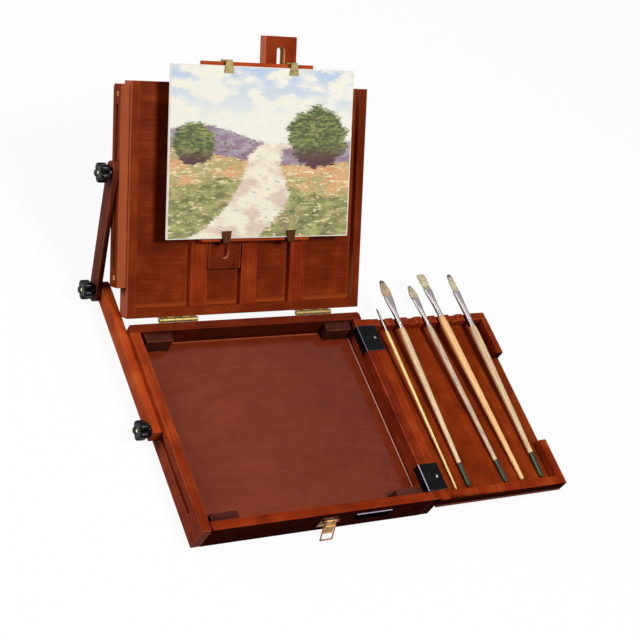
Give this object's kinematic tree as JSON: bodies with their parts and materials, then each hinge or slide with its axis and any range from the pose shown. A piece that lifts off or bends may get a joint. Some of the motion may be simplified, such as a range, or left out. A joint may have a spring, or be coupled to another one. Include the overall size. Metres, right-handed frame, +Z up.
{
  "type": "pochade box",
  "caption": "Hinged wooden painting box with palette tray, adjustable panel holder in the lid, side stay and clip-on brush tray.",
  "frame": {"origin": "mouth of the tripod socket, in the middle of the tray's underside", "axes": "+X to the painter's right, +Y away from the painter towards the lid, +Z up"},
  "size_m": [0.5589, 0.5469, 0.2709],
  "materials": {
    "mahogany": "satin lacquer",
    "palette_wood": "high gloss lacquer",
    "brass": "polished",
    "black_knob": "gloss",
    "black_steel": "satin black",
    "bright_steel": "brushed",
    "primed_board": "painted in oils",
    "handle_wood": "clear lacquer",
    "ferrule_metal": "polished",
    "bristle": "natural hair"
  },
  "bodies": {
    "tray": {"tray_front_wall": "mahogany", "tray_back_wall": "mahogany", "tray_left_wall": "mahogany", "tray_right_wall": "mahogany", "tray_bottom_panel": "mahogany", "corner_blocks": "mahogany", "tripod_insert": "brass", "hinge_tray_leaves": "brass", "hinge_pins": "brass", "tray_screws": "brass", "latch_plate": "brass", "front_plate": "bright_steel"},
    "lid": {"lid_stiles": "mahogany", "lid_cross_rails": "mahogany", "lid_panel": "mahogany", "mast_guides": "mahogany", "side_rail": "mahogany", "lid_screws": "brass", "hinge_lid_leaves": "brass", "clamp_bolts": "brass", "latch_strike": "brass"},
    "arm": {"support_arm": "mahogany", "arm_bolts": "brass"},
    "brace": {"support_brace": "mahogany", "brace_bolt": "brass"},
    "lower_knob": {"lower_knob": "black_knob"},
    "middle_knob": {"middle_knob": "black_knob"},
    "upper_knob": {"upper_knob": "black_knob"},
    "lower_mast_knob": {"lower_mast_knob": "black_knob"},
    "upper_mast_knob": {"upper_mast_knob": "black_knob"},
    "upper_holder": {"upper_mast": "mahogany", "upper_bar": "mahogany", "upper_clips": "brass"},
    "lower_holder": {"lower_mast": "mahogany", "lower_bar": "mahogany", "lower_clips": "brass"},
    "board": {"painting_board": "primed_board"},
    "palette": {"palette": "palette_wood"},
    "latch_lever": {"latch_lever": "brass"},
    "latch_loop": {"latch_loop": "brass"},
    "brush_tray": {"brush_tray_base": "mahogany", "brush_tray_back_rim": "mahogany", "brush_tray_rims": "mahogany", "brush_tray_hooks": "black_steel", "hook_screws": "black_steel"},
    "liner_brush": {"liner_brush_handle": "handle_wood", "liner_brush_ferrule": "ferrule_metal", "liner_brush_head": "bristle"},
    "filbert_brush": {"filbert_brush_handle": "handle_wood", "filbert_brush_ferrule": "ferrule_metal", "filbert_brush_head": "bristle"},
    "small_filbert_brush": {"small_filbert_brush_handle": "handle_wood", "small_filbert_brush_ferrule": "ferrule_metal", "small_filbert_brush_head": "bristle"},
    "flat_brush": {"flat_brush_handle": "handle_wood", "flat_brush_ferrule": "ferrule_metal", "flat_brush_head": "bristle"},
    "bright_brush": {"bright_brush_handle": "handle_wood", "bright_brush_ferrule": "ferrule_metal", "bright_brush_head": "bristle"}
  },
  "joints": [
    {"name": "lid_hinge", "type": "hinge", "parent": "tray", "child": "lid", "pos_m": [0, 0.1413, 0.0365], "axis": [-1, 0, 0], "range_deg": [-131, 6]},
    {"name": "arm_slide", "type": "slide", "parent": "tray", "child": "arm", "axis": [0, 1, 0], "range_m": [-0.093, 0.006]},
    {"name": "brace_pivot", "type": "hinge", "parent": "arm", "child": "brace", "pos_m": [-0.1791, 0.201, 0.021], "axis": [-1, 0, 0], "range_deg": [-104, 6]},
    {"name": "lower_knob_turn", "type": "hinge", "parent": "arm", "child": "lower_knob", "pos_m": [-0.1756, 0.004, 0.021], "axis": [-1, 0, 0], "continuous": true},
    {"name": "middle_knob_turn", "type": "hinge", "parent": "arm", "child": "middle_knob", "pos_m": [-0.1829, 0.201, 0.021], "axis": [-1, 0, 0], "continuous": true},
    {"name": "upper_knob_turn", "type": "hinge", "parent": "brace", "child": "upper_knob", "pos_m": [-0.1829, 0.27533, 0.14647], "axis": [-1, 0, 0], "continuous": true},
    {"name": "lower_mast_knob_turn", "type": "hinge", "parent": "lid", "child": "lower_mast_knob", "pos_m": [-0.0345, 0.26221, 0.13269], "axis": [0, 0.6947, -0.7193], "continuous": true},
    {"name": "upper_mast_knob_turn", "type": "hinge", "parent": "lid", "child": "upper_mast_knob", "pos_m": [0.0345, 0.29818, 0.16742], "axis": [0, 0.6947, -0.7193], "continuous": true},
    {"name": "upper_mast_slide", "type": "slide", "parent": "lid", "child": "upper_holder", "axis": [0, 0.7193, 0.6947], "range_m": [0, 0.05]},
    {"name": "lower_mast_slide", "type": "slide", "parent": "lid", "child": "lower_holder", "axis": [0, 0.7193, 0.6947], "range_m": [-0.043, 0]},
    {"name": "board_shift", "type": "slide", "parent": "lower_holder", "child": "board", "axis": [1, 0, 0], "range_m": [-0.02, 0.02]},
    {"name": "palette_lift", "type": "slide", "parent": "tray", "child": "palette", "axis": [0, 0, 1], "range_m": [0, 0.06]},
    {"name": "latch_lever_hinge", "type": "hinge", "parent": "tray", "child": "latch_lever", "pos_m": [0.007, -0.1415, 0.0275], "axis": [1, 0, 0], "range_deg": [-110, 8]},
    {"name": "latch_loop_hinge", "type": "hinge", "parent": "latch_lever", "child": "latch_loop", "pos_m": [0.007, -0.14484, 0.02112], "axis": [1, 0, 0], "range_deg": [-60, 12]},
    {"name": "brush_tray_lift", "type": "slide", "parent": "tray", "child": "brush_tray", "axis": [0, 0, 1], "range_m": [0, 0.04]},
    {"name": "liner_brush_lift", "type": "slide", "parent": "brush_tray", "child": "liner_brush", "axis": [0, 0, 1], "range_m": [0, 0.06]},
    {"name": "filbert_brush_lift", "type": "slide", "parent": "brush_tray", "child": "filbert_brush", "axis": [0, 0, 1], "range_m": [0, 0.06]},
    {"name": "small_filbert_brush_lift", "type": "slide", "parent": "brush_tray", "child": "small_filbert_brush", "axis": [0, 0, 1], "range_m": [0, 0.06]},
    {"name": "flat_brush_lift", "type": "slide", "parent": "brush_tray", "child": "flat_brush", "axis": [0, 0, 1], "range_m": [0, 0.06]},
    {"name": "bright_brush_lift", "type": "slide", "parent": "brush_tray", "child": "bright_brush", "axis": [0, 0, 1], "range_m": [0, 0.06]}
  ],
  "couplings": [
    {"joint": "arm_slide", "follows": "lid_hinge", "m_per_rad": 0.040129},
    {"joint": "brace_pivot", "follows": "lid_hinge", "ratio": 0.78529}
  ]
}
